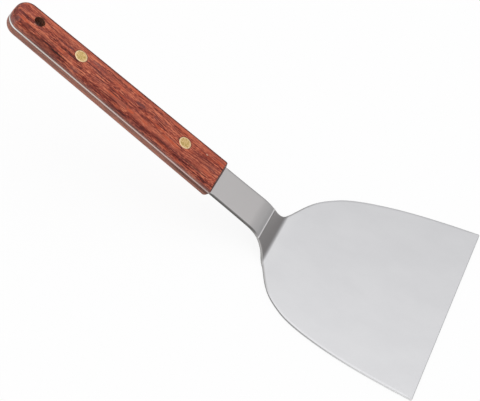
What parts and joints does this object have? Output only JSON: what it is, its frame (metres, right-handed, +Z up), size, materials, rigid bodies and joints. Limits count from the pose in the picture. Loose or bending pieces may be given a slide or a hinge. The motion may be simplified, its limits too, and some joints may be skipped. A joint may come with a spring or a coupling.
{
  "type": "grill spatula",
  "caption": "Wide flared steel grill spatula with a cranked neck, a full tang and a riveted wooden grip with a hang hole.",
  "frame": {"origin": "middle of the blade's flat underside, on the centreline, halfway between the lower bend line and the front edge", "axes": "+X from the grip towards the blade's front edge, +Y across the blade, +Z up out of the blade's top face; the object is symmetric about the plane y = 0"},
  "size_m": [0.2959, 0.1396, 0.0994],
  "materials": {
    "steel": "fine satin stainless sheet, faint brushed grain, eased edges",
    "grip_wood": "oiled reddish rosewood with dark streaks, satin",
    "rivet_brass": "ground flush, dull satin"
  },
  "bodies": {
    "root": {"blade_and_tang": "steel", "upper_scale": "grip_wood", "lower_scale": "grip_wood", "front_rivet_male": "rivet_brass", "front_rivet_female": "rivet_brass", "rear_rivet_male": "rivet_brass", "rear_rivet_female": "rivet_brass"}
  },
  "joints": []
}
